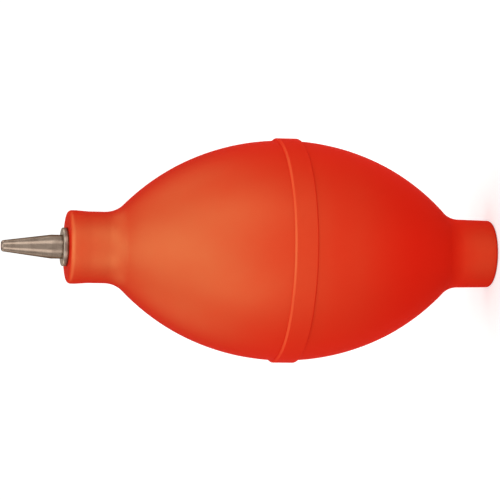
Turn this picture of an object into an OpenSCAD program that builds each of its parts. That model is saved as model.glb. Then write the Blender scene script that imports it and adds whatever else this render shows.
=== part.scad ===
// Dust blower bulb: a rubber bulb of two half shells under a raised band,
// with a tapered metal nozzle in the front neck and a ball valve in the tail neck.
// The bulb stands on its tail face: the origin is the centre of that face, and +Z runs to the nozzle.

/* [Rubber body] */
// Diameter of the belly beside the band
belly_d = 48.5; // [44:0.5:54]
// Radius of the belly's lengthwise curve, in its middle stretch
belly_curve_r = 50.8; // [48:0.1:56]
// Length of the middle stretch
belly_mid_l = 46; // [36:0.5:50]
// How much tighter the curve of the shoulders is, beyond the middle stretch
shoulder_ease = 0.6; // [0.4:0.1:2]
// Rubber wall of the belly
belly_wall = 2.6; // [2:0.1:3.4]

/* [Tail neck] */
// Diameter of the tail neck
tail_neck_d = 15.2; // [13.5:0.1:18]
// Length of the tail neck, from the tail face to its fillet
tail_neck_l = 7.4; // [6:0.1:12]
// Rounding of the tail's edge
tail_edge_r = 1.2; // [0.4:0.1:1.8]
// Fillet between the tail neck and the belly
tail_fillet_r = 5.6; // [2:0.1:7]
// Diameter of the air mouth in the tail face
tail_mouth_d = 6.4; // [5:0.1:7.4]
// Thickness of the rubber lip that covers the rim of the valve
tail_lip_t = 1.2; // [0.8:0.1:2]

/* [Front neck] */
// Diameter of the front neck at its waist
neck_waist_d = 15.6; // [14:0.1:18]
// Diameter of the front neck at its lip
lip_d = 16; // [14.2:0.1:18]
// Length of the front neck, from its fillet to the lip face
front_neck_l = 8.2; // [7:0.1:14]
// Length of the straight lip
lip_l = 1.8; // [1.7:0.1:3]
// Length of the straight waist beside the fillet
neck_waist_l = 3.6; // [1:0.1:4]
// Rounding of the lip's edge
lip_edge_r = 0.9; // [0.4:0.1:1.6]
// Fillet between the front neck and the belly
front_fillet_r = 6; // [2:0.1:7]

/* [Seam band] */
// Width of the raised band
band_w = 5.2; // [4.4:0.1:8]
// Height of the band above the belly
band_proud = 0.5; // [0.3:0.05:1]
// Bevel of the band's edges
band_bevel = 0.2; // [0.1:0.05:0.25]
// Overlap of the two half shells under the band
lap_l = 4; // [2:0.1:4.2]

/* [Ferrule] */
// Diameter of the flange on the lip face
flange_d = 8.4; // [7.6:0.1:11]
// Thickness of the flange
flange_t = 1.2; // [0.7:0.05:1.6]
// Rounding of the flange's rim
flange_edge_r = 0.3; // [0.1:0.05:0.4]
// Diameter of the ferrule's sleeve in the neck
sleeve_d = 6; // [5.4:0.1:7]
// Length of the sleeve
sleeve_l = 9.6; // [8.4:0.1:12]

/* [Nozzle] */
// Diameter of the nozzle's straight stub
stub_d = 5.2; // [4.6:0.1:6.4]
// Length of the stub
stub_l = 2.3; // [1.5:0.1:4]
// Length of the cone from the stub to the tip
cone_l = 10.8; // [8:0.1:20]
// Diameter of the cone at the tip
tip_d = 2.5; // [2:0.1:3]
// Rounding of the tip's edge
tip_edge_r = 0.45; // [0.1:0.05:0.5]
// Diameter of the air bore at the tip
tip_bore_d = 1.2; // [0.6:0.1:1.3]
// Length of the straight bore behind the tip
tip_bore_l = 2; // [1:0.1:4]
// Diameter of the air bore behind the cone
nozzle_bore_d = 2.6; // [2:0.1:3]
// Diameter of the shank that is pressed into the ferrule
shank_d = 4; // [3.6:0.1:4.4]
// Length of the shank
shank_l = 7.2; // [5:0.1:8]

/* [Inlet valve] */
// Diameter of the valve ball
ball_d = 4.4; // [4.2:0.1:5]
// Lift of the ball from its seat to the guard
ball_lift = 1.5; // [0.8:0.1:2.2]
// Air gap all round the ball in its chamber
ball_air_gap = 0.4; // [0.3:0.05:0.6]
// Diameter of the inlet hole under the seat
inlet_d = 2.8; // [2:0.1:2.9]
// Length of the inlet hole
inlet_l = 1; // [0.6:0.1:2]
// Width of the ledge that the guard and the gauze rest on
ledge_w = 0.6; // [0.4:0.05:0.8]
// Metal around the ring grooves
valve_wall = 0.6; // [0.5:0.05:1]
// Metal between each ring groove and the end of the valve body
valve_rim = 0.4; // [0.3:0.05:0.8]
// Thickness of the perforated guard
guard_t = 0.6; // [0.4:0.05:1]
// Diameter of the guard's air holes
guard_hole_d = 1.1; // [0.8:0.05:1.2]
// Number of air holes round the guard
guard_holes = 6; // [4:1:6]
// Thickness of the gauze
screen_t = 0.3; // [0.2:0.05:0.5]
// Diameter of the gauze's openings
screen_hole_d = 0.5; // [0.4:0.05:0.6]
// Spacing of the gauze's openings
screen_pitch = 0.8; // [0.75:0.05:1.2]
// Thickness of the snap rings
ring_t = 0.5; // [0.4:0.05:0.7]
// Width of the snap rings
ring_w = 0.8; // [0.6:0.05:1]
// Depth of the snap rings in their grooves
ring_bite = 0.25; // [0.15:0.05:0.35]
// Opening between the ends of a snap ring, in degrees
ring_gap_deg = 50; // [20:5:90]

/* [Barbs] */
// Height of the barbs that hold the metal inserts in the rubber
barb_h = 0.45; // [0.2:0.05:0.6]
// Length of a barb's ramp
barb_l = 1.8; // [1:0.1:2.2]
// Spacing of the barbs
barb_pitch = 2.6; // [2.3:0.1:3]
// Distance from an insert's outer end to its first barb
barb_setback = 2; // [1:0.1:2.6]
// Number of barbs on each insert
barb_count = 2; // [1:1:2]

/* [Thumb wall] */
// Width of the patch that the thumb presses in, all along the belly's middle stretch
thumb_w = 25; // [18:0.5:27]

/* [Fits] */
// Gap of a press fit, between pieces that stay put
press_gap = 0.02; // [0:0.01:0.05]
// Thickness of the cement between the half shells
cement_gap = 0.03; // [0.02:0.01:0.1]
// Gap round the thumb patch
thumb_gap = 0.3; // [0.2:0.05:0.5]
// Gap between the ball and its stops
ball_stop_gap = 0.05; // [0.02:0.01:0.1]

/* [Hidden] */
$fn = 96;
// Facets of the belly's long curve, which is far larger than the other curves
belly_fn = 480;
// Depth to which a neck's fillet runs into the belly, so that the two curves cross cleanly
fillet_bite = 0.002;

RUBBER = "#DE4B2A";
NICKEL = "#A08F80";
STEEL = "#B9BABC";

// Belly and necks: the curves of the belly and of the shoulders cross at the ends of the middle stretch
belly_r = belly_d / 2;
belly_axis_r = belly_r - belly_curve_r;
belly_mid_h = belly_mid_l / 2;
shoulder_curve_r = belly_curve_r - shoulder_ease;
shoulder_axis_r = belly_axis_r + curve_run(belly_curve_r) - curve_run(shoulder_curve_r);
tail_neck_r = tail_neck_d / 2;
neck_waist_r = neck_waist_d / 2;
lip_r = lip_d / 2;
band_r = belly_r + band_proud;
lap_r = belly_r - belly_wall / 2;
belly_z = tail_neck_l + fillet_rise(tail_neck_r, tail_fillet_r);
front_fillet_z = belly_z + fillet_rise(neck_waist_r, front_fillet_r);
body_l = front_fillet_z + front_neck_l;

// Ferrule and nozzle
sleeve_r = sleeve_d / 2;
shank_r = shank_d / 2;
stub_r = stub_d / 2;
tip_r = tip_d / 2;
nozzle_z = body_l + flange_t;
cone_z = nozzle_z + stub_l;
tip_z = cone_z + cone_l;

// A length past every edge of the part, for cutting shapes
reach = 2 * (tip_z + belly_d);

// Valve, from the tail end inwards
ball_r = ball_d / 2;
inlet_r = inlet_d / 2;
chamber_r = ball_r + ball_air_gap;
pocket_r = chamber_r + ledge_w;
ring_r = pocket_r + ring_bite;
groove_r = ring_r + press_gap;
valve_r = groove_r + valve_wall;
valve_z = tail_lip_t;
screen_ring_z = valve_z + valve_rim;
screen_z = screen_ring_z + ring_t;
inlet_z = screen_z + screen_t;
seat_z = inlet_z + inlet_l;
chamber_z = seat_z + chamber_r - inlet_r;
ball_z = seat_z - inlet_r + (ball_r + ball_stop_gap) * sqrt(2);
guard_z = ball_z + ball_r + ball_lift + ball_stop_gap;
guard_ring_z = guard_z + guard_t;
valve_end_z = guard_ring_z + ring_t + valve_rim;

// Distance from a curve's centre to its crossing at the end of the middle stretch, across the axis
function curve_run(curve_r) = sqrt(pow(curve_r, 2) - pow(belly_mid_h, 2));

// Height from the belly's widest place to the centre of a neck's fillet
function fillet_rise(neck_r, fillet_r) =
  sqrt(pow(shoulder_curve_r + fillet_r - fillet_bite, 2) - pow(neck_r + fillet_r - shoulder_axis_r, 2));

// Centre of a neck's fillet, and a point inside the belly on the line where the fillet meets it
function fillet_centre(neck_r, fillet_r, fillet_z) = [neck_r + fillet_r, fillet_z];
function fillet_root(centre, fillet_r) =
  let (inwards = [shoulder_axis_r, belly_z] - centre)
  centre + inwards / norm(inwards) * 2 * fillet_r;

// A half section of given radius between two heights
module section(r, z0, z1) {
  translate([0, z0]) square([r, z1 - z0]);
}

// What is cut off an outer corner to round it about [r, z]: way is 1 for an upper corner, -1 for a lower one
module corner_cut(r, z, edge_r, way) {
  difference() {
    translate([r, way > 0 ? z : z - 2 * edge_r]) square(2 * edge_r);
    translate([r, z]) circle(edge_r);
  }
}

// A half section with both outer corners bevelled
module bevelled_section(r, z0, z1, bevel) {
  polygon([
    [0, z0], [r - bevel, z0], [r, z0 + bevel], [r, z1 - bevel], [r - bevel, z1], [0, z1]
  ]);
}

// Half section of the belly, or of its air chamber when drawn in by the wall
module belly_section(inset = 0) {
  intersection() {
    translate([belly_axis_r, belly_z]) circle(belly_curve_r - inset, $fn = belly_fn);
    translate([shoulder_axis_r, belly_z]) circle(shoulder_curve_r - inset, $fn = belly_fn);
    section(reach, -reach, reach);
  }
}

// Half section of the tail neck, with its rounded edge and the fillet to the belly
module tail_section() {
  centre = fillet_centre(tail_neck_r, tail_fillet_r, tail_neck_l);
  root = fillet_root(centre, tail_fillet_r);
  difference() {
    polygon([
      [0, 0], [tail_neck_r, 0], [tail_neck_r, tail_neck_l], centre, root, [0, root[1]]
    ]);
    translate(centre) circle(tail_fillet_r);
    corner_cut(tail_neck_r - tail_edge_r, tail_edge_r, tail_edge_r, -1);
  }
}

// Half section of the front neck, from the fillet over the waist to the rounded lip
module neck_section() {
  centre = fillet_centre(neck_waist_r, front_fillet_r, front_fillet_z);
  root = fillet_root(centre, front_fillet_r);
  difference() {
    polygon([
      [0, root[1]], root, centre, [neck_waist_r, front_fillet_z],
      [neck_waist_r, front_fillet_z + neck_waist_l], [lip_r, body_l - lip_l],
      [lip_r, body_l], [0, body_l]
    ]);
    translate(centre) circle(front_fillet_r);
    corner_cut(lip_r - lip_edge_r, body_l - lip_edge_r, lip_edge_r, 1);
  }
}

// Outer half section of the whole rubber body
module body_section() {
  belly_section();
  tail_section();
  neck_section();
}

// Outline of a barbed insert, from its outer end to its far end: the barbs catch towards the outer end.
// way is 1 where the insert runs upwards from end_z, and -1 where it runs downwards.
function barbed_outline(r, end_z, length, way) = concat(
  [[r, end_z]],
  [
    for (i = [0 : barb_count - 1], corner = [0 : 2])
      let (catch_z = end_z + way * (barb_setback + i * barb_pitch))
      [r + (corner == 1 ? barb_h : 0), catch_z + (corner == 2 ? way * barb_l : 0)]
  ],
  [[r, end_z + way * length]]
);

// Half section of the bore that a barbed insert is pressed into, as deep as the air chamber
module barbed_bore(r, end_z, way) {
  outline = barbed_outline(r + press_gap, end_z, abs(belly_z - end_z), way);
  polygon(concat([[0, end_z]], outline, [[0, belly_z]]));
}

// Half section of the rubber wall, without the band
module wall_section() {
  difference() {
    body_section();
    belly_section(belly_wall);
    barbed_bore(sleeve_r, body_l, -1);
    barbed_bore(valve_r, valve_z, 1);
    section(tail_mouth_d / 2, -tail_lip_t, belly_z);
  }
}

// One half of the rubber wall: its outer or inner layer laps past the middle
module front_wall() {
  rotate_extrude() intersection() {
    wall_section();
    union() {
      section(reach, belly_z + lap_l / 2, reach);
      section(lap_r - cement_gap / 2, belly_z - lap_l / 2, reach);
    }
  }
}

module rear_wall() {
  rotate_extrude() difference() {
    wall_section();
    section(reach, belly_z + lap_l / 2 - cement_gap, reach);
    section(lap_r + cement_gap / 2, belly_z - lap_l / 2 - cement_gap, reach);
  }
}

module band_wall() {
  rotate_extrude() difference() {
    bevelled_section(band_r, belly_z - band_w / 2, belly_z + band_w / 2, band_bevel);
    belly_section();
  }
}

// Block round the thumb patch, along the way that the thumb presses
module thumb_block(grow) {
  patch_w = thumb_w + 2 * grow;
  patch_l = belly_mid_l + 2 * grow;
  translate([0, -patch_w / 2, belly_z - patch_l / 2]) cube([reach, patch_w, patch_l]);
}

// Rubber that stays: what lies outside the thumb patch
module outside_patch() {
  difference() {
    children();
    thumb_block(thumb_gap / 2);
  }
}

// Rubber that travels: what lies inside the thumb patch
module inside_patch() {
  intersection() {
    children();
    thumb_block(-thumb_gap / 2);
  }
}

module front_half_shell() {
  color(RUBBER) outside_patch() front_wall();
}

module rear_half_shell() {
  color(RUBBER) outside_patch() rear_wall();
}

module seam_band() {
  color(RUBBER) outside_patch() band_wall();
}

module front_thumb_wall() {
  color(RUBBER) inside_patch() front_wall();
}

module rear_thumb_wall() {
  color(RUBBER) inside_patch() rear_wall();
}

module band_thumb_arc() {
  color(RUBBER) inside_patch() band_wall();
}

// Flanged ferrule in the front neck, with the bore that takes the nozzle's shank
module neck_ferrule() {
  flange_r = flange_d / 2;
  edge_r = min(flange_edge_r, flange_t / 3);
  color(NICKEL) rotate_extrude() difference() {
    polygon(concat(
      [[0, nozzle_z], [flange_r, nozzle_z], [flange_r, body_l]],
      barbed_outline(sleeve_r, body_l, sleeve_l, -1),
      [[0, body_l - sleeve_l]]
    ));
    corner_cut(flange_r - edge_r, body_l + edge_r, edge_r, -1);
    corner_cut(flange_r - edge_r, nozzle_z - edge_r, edge_r, 1);
    section(shank_r + press_gap, -reach, reach);
  }
}

// Tapered nozzle: shank, shoulder, straight stub and cone, with the air bore right through
module nozzle_tube() {
  shank_end_z = nozzle_z - shank_l;
  color(NICKEL) rotate_extrude() difference() {
    polygon([
      [0, shank_end_z], [shank_r, shank_end_z], [shank_r, nozzle_z], [stub_r, nozzle_z],
      [stub_r, cone_z], [tip_r, tip_z - tip_edge_r], [tip_r, tip_z], [0, tip_z]
    ]);
    corner_cut(tip_r - tip_edge_r, tip_z - tip_edge_r, tip_edge_r, 1);
    polygon([
      [0, -reach], [nozzle_bore_d / 2, -reach], [nozzle_bore_d / 2, cone_z],
      [tip_bore_d / 2, tip_z - tip_bore_l], [tip_bore_d / 2, reach], [0, reach]
    ]);
  }
}

// Valve bush in the tail neck: gauze pocket, inlet hole, conical seat, ball chamber, guard pocket
module inlet_valve_body() {
  color(NICKEL) rotate_extrude() difference() {
    polygon(concat(
      [[0, valve_z]], barbed_outline(valve_r, valve_z, valve_end_z - valve_z, 1), [[0, valve_end_z]]
    ));
    section(pocket_r, -reach, inlet_z);
    section(groove_r, screen_ring_z, screen_z);
    section(inlet_r, -reach, reach);
    polygon([
      [0, seat_z], [inlet_r, seat_z], [chamber_r, chamber_z], [chamber_r, reach], [0, reach]
    ]);
    section(pocket_r, guard_z, reach);
    section(groove_r, guard_ring_z, guard_ring_z + ring_t);
  }
}

module valve_ball() {
  color(STEEL) translate([0, 0, ball_z]) sphere(ball_r);
}

// Perforated disc over the ball chamber: a ring of air holes round a solid middle
module ball_guard() {
  hole_ring_r = chamber_r - guard_hole_d / 2;
  color(STEEL) translate([0, 0, guard_z]) difference() {
    cylinder(r = pocket_r - press_gap, h = guard_t);
    for (i = [0 : guard_holes - 1])
      rotate(i * 360 / guard_holes) translate([hole_ring_r, 0, -guard_t])
        cylinder(d = guard_hole_d, h = 3 * guard_t);
  }
}

// Open ring that springs into a groove of the valve bush
module snap_ring(z) {
  color(STEEL) translate([0, 0, z]) rotate(ring_gap_deg / 2)
    rotate_extrude(angle = 360 - ring_gap_deg)
      translate([ring_r - ring_w, 0]) square([ring_w, ring_t]);
}

module guard_ring() {
  snap_ring(guard_ring_z);
}

module screen_ring() {
  snap_ring(screen_ring_z);
}

// Gauze disc in front of the inlet hole, with its openings in staggered rows
module inlet_screen() {
  mesh_r = pocket_r - ring_w;
  row_pitch = screen_pitch * sqrt(3) / 2;
  rows = floor(mesh_r / row_pitch);
  places = ceil(mesh_r / screen_pitch);
  color(STEEL) translate([0, 0, screen_z]) difference() {
    cylinder(r = pocket_r - press_gap, h = screen_t);
    for (row = [-rows : rows], place = [-places : places]) {
      x = (place + abs(row) % 2 / 2) * screen_pitch;
      y = row * row_pitch;
      if (norm([x, y]) + screen_hole_d / 2 < mesh_r)
        translate([x, y, -screen_t]) cylinder(d = screen_hole_d, h = 3 * screen_t);
    }
  }
}

front_half_shell();
rear_half_shell();
seam_band();
front_thumb_wall();
rear_thumb_wall();
band_thumb_arc();
neck_ferrule();
nozzle_tube();
inlet_valve_body();
valve_ball();
ball_guard();
guard_ring();
inlet_screen();
screen_ring();
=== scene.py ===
"""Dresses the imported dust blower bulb: rubber skins, turned metal, the inlet valve, and a plain studio."""

import logging
import math
from collections.abc import Callable, Iterable, Sequence
from dataclasses import dataclass, field
from enum import Enum
from typing import Any

import bmesh
import bpy
from mathutils import Matrix, Vector


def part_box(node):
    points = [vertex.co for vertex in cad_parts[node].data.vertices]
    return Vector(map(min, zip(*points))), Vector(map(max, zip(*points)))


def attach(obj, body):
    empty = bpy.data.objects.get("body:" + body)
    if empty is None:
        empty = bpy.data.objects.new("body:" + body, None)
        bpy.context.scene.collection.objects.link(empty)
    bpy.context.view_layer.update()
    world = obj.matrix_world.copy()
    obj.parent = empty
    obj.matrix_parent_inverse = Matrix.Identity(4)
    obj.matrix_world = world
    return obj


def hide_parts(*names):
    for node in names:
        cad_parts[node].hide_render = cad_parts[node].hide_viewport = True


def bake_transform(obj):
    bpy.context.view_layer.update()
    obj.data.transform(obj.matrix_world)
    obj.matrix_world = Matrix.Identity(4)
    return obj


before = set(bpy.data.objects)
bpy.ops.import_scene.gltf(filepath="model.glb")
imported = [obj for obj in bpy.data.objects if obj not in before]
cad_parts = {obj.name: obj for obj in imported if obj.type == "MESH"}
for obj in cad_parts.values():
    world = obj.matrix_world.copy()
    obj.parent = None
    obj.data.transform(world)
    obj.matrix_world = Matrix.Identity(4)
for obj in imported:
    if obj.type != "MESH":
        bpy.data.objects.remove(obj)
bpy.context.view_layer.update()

log = logging.getLogger("blower_bulb")

MM = 0.001
MERGE_MM = 0.002
# Corners closer than this are one
SAME_MM = 2 * MERGE_MM
SMOOTH_DEG = 32.0
FULL_TURN_DEG = 360.0
ROUND_SEGMENTS = 3

Point = tuple[float, float]
Span = tuple[float, float]


class Body(Enum):
    """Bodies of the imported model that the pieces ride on."""

    BULB = "bulb"
    THUMB_WALL = "thumb_wall"
    VALVE_BALL = "valve_ball"


class Slot(Enum):
    """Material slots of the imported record."""

    RUBBER = "bulb_rubber"
    NICKEL = "nickel_plate"
    BALL = "ball_steel"
    SHEET = "sheet_steel"
    SPRING = "spring_steel"
    GAUZE = "gauze"


class End(Enum):
    """The two ends of the bulb, by the way that they lie from the band."""

    FRONT = 1
    TAIL = -1


def linear(hex_colour: str) -> tuple[float, float, float, float]:
    """Turns an sRGB hex colour to linear red, green, blue and alpha.

    Args:
        hex_colour: Colour such as "#DE4B2A".

    Returns:
        The linear colour, with an alpha of 1.
    """
    shares = [int(hex_colour[i : i + 2], 16) / 255 for i in (1, 3, 5)]
    red, green, blue = (s / 12.92 if s <= 0.04045 else ((s + 0.055) / 1.055) ** 2.4 for s in shares)
    return red, green, blue, 1.0


def per_metre(size_mm: float) -> float:
    """Scale of a pattern on Object coordinates whose features are that many millimetres across."""
    return 1 / (size_mm * MM)


def add_node(
    tree: bpy.types.NodeTree,
    kind: str,
    settings: dict[str, Any] | None = None,
    inputs: dict[str | int, Any] | None = None,
    stops: Sequence[tuple[float, str]] = (),
) -> bpy.types.Node:
    """Adds a node with its settings and links.

    Args:
        tree: Node tree that takes the node.
        kind: Blender's name of the node type, without the "ShaderNode" in front.
        settings: Properties of the node.
        inputs: Values of its sockets; an output socket is linked.
        stops: Places and sRGB hex colours on its ramp, where it has one, joined by a smooth curve.

    Returns:
        The new node.
    """
    node = tree.nodes.new(f"ShaderNode{kind}")
    for name, value in (settings or {}).items():
        setattr(node, name, value)
    for name, value in (inputs or {}).items():
        if isinstance(value, bpy.types.NodeSocket):
            tree.links.new(value, node.inputs[name])
        else:
            node.inputs[name].default_value = value
    if stops:
        node.color_ramp.interpolation = "CARDINAL"
    for i, (place, colour) in enumerate(stops):
        elements = node.color_ramp.elements
        element = elements[i] if i < len(elements) else elements.new(place)
        element.position = place
        element.color = linear(colour)
    return node


def new_material(name: str) -> tuple[bpy.types.Material, bpy.types.NodeTree, bpy.types.NodeSocket]:
    """Starts a material.

    Args:
        name: What the real material is.

    Returns:
        The material, its emptied node tree and its Object coordinates.
    """
    material = bpy.data.materials.new(name)
    material.use_nodes = True
    tree = material.node_tree
    tree.nodes.clear()
    place = add_node(tree, "TexCoord").outputs["Object"]
    return material, tree, place


@dataclass(frozen=True)
class MouldedRubber:
    """Natural rubber, press moulded in two halves and dusted with talc."""

    # To the eye: a saturated red with no mirror gloss, which the talc in the mould's fine grain turns to a
    # paler orange where the skin faces the eye; along the length the talc and the red also carry painted
    # light, paler towards the front, with painted shade behind the middle, deepest by the tail neck
    name: str = "moulded_natural_rubber"
    # Base red where the talc is worn off and in painted shade, and where talc and painted light lie
    worn_shaded_red: str = "#DC2210"
    dusted_lit_red: str = "#BE1605"
    talc: str = "#FFEF99"
    talc_share: float = 0.146
    grazing_share: float = 0.01
    talc_falloff: float = 0.77
    talc_roughness: float = 0.55
    length_mm: float = 95.2
    # Talc and painted light along the length from the tail, as a grey; the black stop is painted shade
    # in the crease by the tail neck, and the white one a painted highlight on the front shoulder
    talc_and_painted_light_stops: tuple[tuple[float, str], ...] = (
        (0.0, "#A2A2A2"),
        (0.06, "#949494"),
        (0.14, "#000000"),
        (0.24, "#2A2A2A"),
        (0.35, "#868686"),
        (0.44, "#989898"),
        (0.62, "#C9C9C9"),
        (0.83, "#FFFFFF"),
        (0.97, "#DDDDDD"),
    )
    # Painted highlight added on raised edges, and where it begins and stops fading, in halves of their width
    ridge_painted_highlight: float = 0.55
    ridge_fade: Span = (0.3, 1.3)
    mottle_mm: float = 11.0
    mottle_detail: float = 4.0
    mottle_gain: float = 0.55
    mottle_span: Span = (0.8, 1.2)
    # The mould's grain is about 0.1 mm on the real skin, and is drawn coarser so that it shows
    grain_mm: float = 0.35
    grain_detail: float = 1.0
    grain_gain: float = 0.6
    grain_depth_mm: float = 0.012
    grain_strength: float = 0.35
    roughness: Span = (0.6, 0.72)
    gloss_level: float = 0.01
    ior: float = 1.52

    def talc_and_painted_light(
        self, tree: bpy.types.NodeTree, height: bpy.types.NodeSocket, mottle: bpy.types.NodeSocket
    ) -> bpy.types.NodeSocket:
        """Works out the talc and painted light along the bulb, in uneven patches.

        Args:
            tree: Node tree of the rubber.
            height: Height above the tail's face, in metres.
            mottle: Noise that makes the patches.

        Returns:
            The amount of talc and painted light.
        """
        along = add_node(
            tree, "MapRange", inputs={"Value": height, "From Max": self.length_mm * MM}
        ).outputs["Result"]
        # Talc and painted light by height: painted shade in the crease by the tail neck, painted light in
        # front
        left = add_node(tree, "ValToRGB", inputs={"Fac": along}, stops=self.talc_and_painted_light_stops).outputs["Color"]
        patches = add_node(
            tree,
            "MapRange",
            inputs={"Value": mottle, "To Min": self.mottle_span[0], "To Max": self.mottle_span[1]},
        ).outputs["Result"]
        return add_node(tree, "Math", {"operation": "MULTIPLY"}, {0: left, 1: patches}).outputs[0]

    def bare_rubber(
        self,
        tree: bpy.types.NodeTree,
        talc_and_painted_light: bpy.types.NodeSocket,
        mottle: bpy.types.NodeSocket,
        skin: bpy.types.NodeSocket,
    ) -> bpy.types.NodeSocket:
        """Shades the matt rubber under the talc.

        Args:
            tree: Node tree of the rubber.
            talc_and_painted_light: Talc and painted light along the bulb, which shift the red between two
                tones.
            mottle: Noise that makes it more and less matt.
            skin: Normal of the grained skin.

        Returns:
            The shader.
        """
        # The red moves with the talc and painted light, from the worn red in painted shade to the dusted red
        # where lit
        red = add_node(
            tree, "ValToRGB", inputs={"Fac": talc_and_painted_light}, stops=((0.0, self.worn_shaded_red), (1.0, self.dusted_lit_red))
        ).outputs["Color"]
        matt = add_node(
            tree,
            "MapRange",
            inputs={"Value": mottle, "To Min": self.roughness[0], "To Max": self.roughness[1]},
        ).outputs["Result"]
        return add_node(
            tree,
            "BsdfPrincipled",
            inputs={
                "Base Color": red,
                "Roughness": matt,
                "IOR": self.ior,
                "Specular IOR Level": self.gloss_level,
                "Normal": skin,
            },
        ).outputs[0]

    def talc_and_highlight_share(
        self,
        tree: bpy.types.NodeTree,
        height: bpy.types.NodeSocket,
        talc_and_painted_light: bpy.types.NodeSocket,
        ridges: Sequence[Span],
    ) -> bpy.types.NodeSocket:
        """Shares out the talc sheen, with painted highlights on raised edges and less at a grazing look.

        Args:
            tree: Node tree of the rubber.
            height: Height above the tail's face, in metres.
            talc_and_painted_light: Talc and painted light along the bulb.
            ridges: Lowest and highest place of each raised edge that gets a painted highlight, in
                millimetres.

        Returns:
            The share.
        """
        talc_light_and_highlight = talc_and_painted_light
        # Each raised edge adds a painted highlight to the sheen's share, fading off its middle
        for low, high in ridges:
            middle, half = (low + high) / 2 * MM, (high - low) / 2 * MM
            above = add_node(tree, "Math", {"operation": "SUBTRACT"}, {0: height, 1: middle}).outputs[0]
            away = add_node(tree, "Math", {"operation": "ABSOLUTE"}, {0: above}).outputs[0]
            painted_edge_highlight = add_node(
                tree,
                "MapRange",
                {"interpolation_type": "SMOOTHSTEP"},
                {
                    "Value": away,
                    "From Min": half * self.ridge_fade[0],
                    "From Max": half * self.ridge_fade[1],
                    "To Min": self.ridge_painted_highlight,
                    "To Max": 0.0,
                },
            ).outputs["Result"]
            talc_light_and_highlight = add_node(tree, "Math", {"operation": "ADD"}, {0: talc_light_and_highlight, 1: painted_edge_highlight}).outputs[0]
        turned_away = add_node(tree, "LayerWeight", inputs={"Blend": self.talc_falloff}).outputs["Facing"]
        satin = add_node(
            tree,
            "MapRange",
            inputs={"Value": turned_away, "To Min": self.talc_share, "To Max": self.grazing_share},
        ).outputs["Result"]
        return add_node(tree, "Math", {"operation": "MULTIPLY"}, {0: satin, 1: talc_light_and_highlight}).outputs[0]

    def material(self, ridges: Sequence[Span]) -> bpy.types.Material:
        """Builds the rubber's material.

        Args:
            ridges: Lowest and highest place of each raised edge that gets a painted highlight, in
                millimetres.

        Returns:
            The material.
        """
        material, tree, place = new_material(self.name)
        height = add_node(tree, "SeparateXYZ", inputs={"Vector": place}).outputs["Z"]
        mottle = add_node(
            tree,
            "TexNoise",
            inputs={
                "Vector": place,
                "Scale": per_metre(self.mottle_mm),
                "Detail": self.mottle_detail,
                "Roughness": self.mottle_gain,
            },
        ).outputs["Fac"]
        grain = add_node(
            tree,
            "TexNoise",
            inputs={
                "Vector": place,
                "Scale": per_metre(self.grain_mm),
                "Detail": self.grain_detail,
                "Roughness": self.grain_gain,
            },
        ).outputs["Fac"]
        skin = add_node(
            tree,
            "Bump",
            inputs={
                "Height": grain,
                "Strength": self.grain_strength,
                "Distance": self.grain_depth_mm * MM,
            },
        ).outputs["Normal"]
        talc_and_painted_light = self.talc_and_painted_light(tree, height, mottle)
        rubber = self.bare_rubber(tree, talc_and_painted_light, mottle, skin)
        share = self.talc_and_highlight_share(tree, height, talc_and_painted_light, ridges)
        bloom = add_node(
            tree,
            "BsdfAnisotropic",
            inputs={"Color": linear(self.talc), "Roughness": self.talc_roughness, "Normal": skin},
        ).outputs[0]
        surface = add_node(tree, "MixShader", inputs={0: share, 1: rubber, 2: bloom}).outputs[0]
        add_node(tree, "OutputMaterial", inputs={"Surface": surface})
        return material


@dataclass(frozen=True)
class TurnedMetal:
    """A metal finished on the lathe, plated or bare."""

    # To the eye: fine turning rings round the axis, which blur its reflections lengthwise, and a slightly
    # stained tone
    name: str
    dark: str
    light: str
    roughness: Span
    # Colour that a grazing look takes on; a dark brown one paints shade on the reflections at the metal's
    # edges
    edge: str = "#FFFFFF"
    # Turning marks are about 0.05 mm apart on the real pieces, and are drawn coarser so that they show
    ring_mm: float = 0.16
    ring_detail: float = 2.0
    ring_depth_mm: float = 0.003
    ring_share: float = 0.4
    ring_strength: float = 0.5
    stain_mm: float = 2.2
    stain_detail: float = 4.0
    noise_gain: float = 0.6
    # Where the noise of rings and stains, taken together, is darkest and lightest
    tone_span: Span = (0.4, 1.0)

    def material(self) -> bpy.types.Material:
        """Builds the metal's material.

        Returns:
            The material.
        """
        material, tree, place = new_material(self.name)
        axis = add_node(tree, "SeparateXYZ", inputs={"Vector": place}).outputs["Z"]
        rings = add_node(
            tree,
            "TexNoise",
            {"noise_dimensions": "1D"},
            {
                "W": axis,
                "Scale": per_metre(self.ring_mm),
                "Detail": self.ring_detail,
                "Roughness": self.noise_gain,
            },
        ).outputs["Fac"]
        stain = add_node(
            tree,
            "TexNoise",
            inputs={
                "Vector": place,
                "Scale": per_metre(self.stain_mm),
                "Detail": self.stain_detail,
                "Roughness": self.noise_gain,
            },
        ).outputs["Fac"]
        tone = add_node(
            tree, "Math", {"operation": "MULTIPLY_ADD"}, {0: rings, 1: self.ring_share, 2: stain}
        ).outputs[0]
        shade = add_node(
            tree,
            "MapRange",
            inputs={"Value": tone, "From Min": self.tone_span[0], "From Max": self.tone_span[1]},
        ).outputs["Result"]
        colour = add_node(
            tree, "ValToRGB", inputs={"Fac": shade}, stops=((0.0, self.dark), (1.0, self.light))
        ).outputs["Color"]
        blur = add_node(
            tree,
            "MapRange",
            inputs={"Value": stain, "To Min": self.roughness[0], "To Max": self.roughness[1]},
        ).outputs["Result"]
        skin = add_node(
            tree,
            "Bump",
            inputs={"Height": rings, "Strength": self.ring_strength, "Distance": self.ring_depth_mm * MM},
        ).outputs["Normal"]
        surface = add_node(
            tree,
            "BsdfPrincipled",
            inputs={
                "Base Color": colour,
                "Metallic": 1.0,
                "Roughness": blur,
                "Specular Tint": linear(self.edge),
                "Normal": skin,
            },
        ).outputs[0]
        add_node(tree, "OutputMaterial", inputs={"Surface": surface})
        return material


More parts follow.
